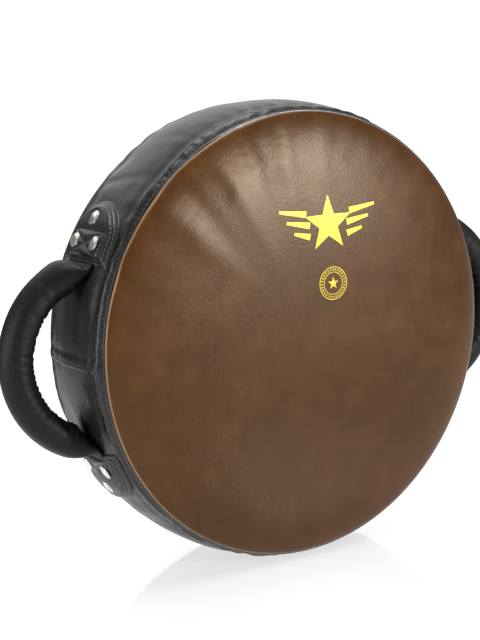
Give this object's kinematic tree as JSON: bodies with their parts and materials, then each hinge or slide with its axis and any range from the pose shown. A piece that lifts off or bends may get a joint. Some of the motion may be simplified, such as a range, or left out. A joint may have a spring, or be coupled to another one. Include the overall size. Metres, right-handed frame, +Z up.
{
  "type": "round punch and kick shield",
  "caption": "Round padded training shield: brown leather face and back, black side band, padded handle riveted on each side under stitched patches; stands on its rim.",
  "frame": {"origin": "centre of the flat that the rim rests on, at the middle of the pad's width", "axes": "+Z up, +X across the handles to the right as seen from in front, striking face towards -Y"},
  "size_m": [0.652, 0.154, 0.496],
  "materials": {
    "brown_leather": "waxed, satin",
    "black_leather": "satin",
    "foam": "matte closed-cell foam",
    "webbing": "matte woven",
    "nickel": "polished nickel plate",
    "gold_foil": "printed gold",
    "thread": "waxed thread"
  },
  "bodies": {
    "shield": {"front_panel": "brown_leather", "rear_panel": "brown_leather", "upper_side_band": "black_leather", "lower_side_band": "black_leather", "front_welt": "black_leather", "rear_welt": "black_leather", "strike_foam": "foam", "core_foam": "foam", "rear_foam": "foam", "left_upper_patch": "black_leather", "left_lower_patch": "black_leather", "right_upper_patch": "black_leather", "right_lower_patch": "black_leather", "left_upper_backing": "webbing", "left_lower_backing": "webbing", "right_upper_backing": "webbing", "right_lower_backing": "webbing", "left_upper_rivets": "nickel", "left_lower_rivets": "nickel", "right_upper_rivets": "nickel", "right_lower_rivets": "nickel", "left_upper_burrs": "nickel", "left_lower_burrs": "nickel", "right_upper_burrs": "nickel", "right_lower_burrs": "nickel"},
    "left_handle": {"left_handle_sleeve": "black_leather", "left_handle_foam": "foam", "left_handle_strap": "webbing"},
    "right_handle": {"right_handle_sleeve": "black_leather", "right_handle_foam": "foam", "right_handle_strap": "webbing"}
  },
  "joints": [
    {"name": "left_handle_swing", "type": "hinge", "parent": "shield", "child": "left_handle", "pos_m": [-0.238, 0, 0.246], "axis": [0, 0, 1], "range_deg": [-20, 20], "stiffness_Nm_per_rad": 1, "deforming": ["left_handle_strap"]},
    {"name": "right_handle_swing", "type": "hinge", "parent": "shield", "child": "right_handle", "pos_m": [0.238, 0, 0.246], "axis": [0, 0, 1], "range_deg": [-20, 20], "stiffness_Nm_per_rad": 1, "deforming": ["right_handle_strap"]}
  ]
}
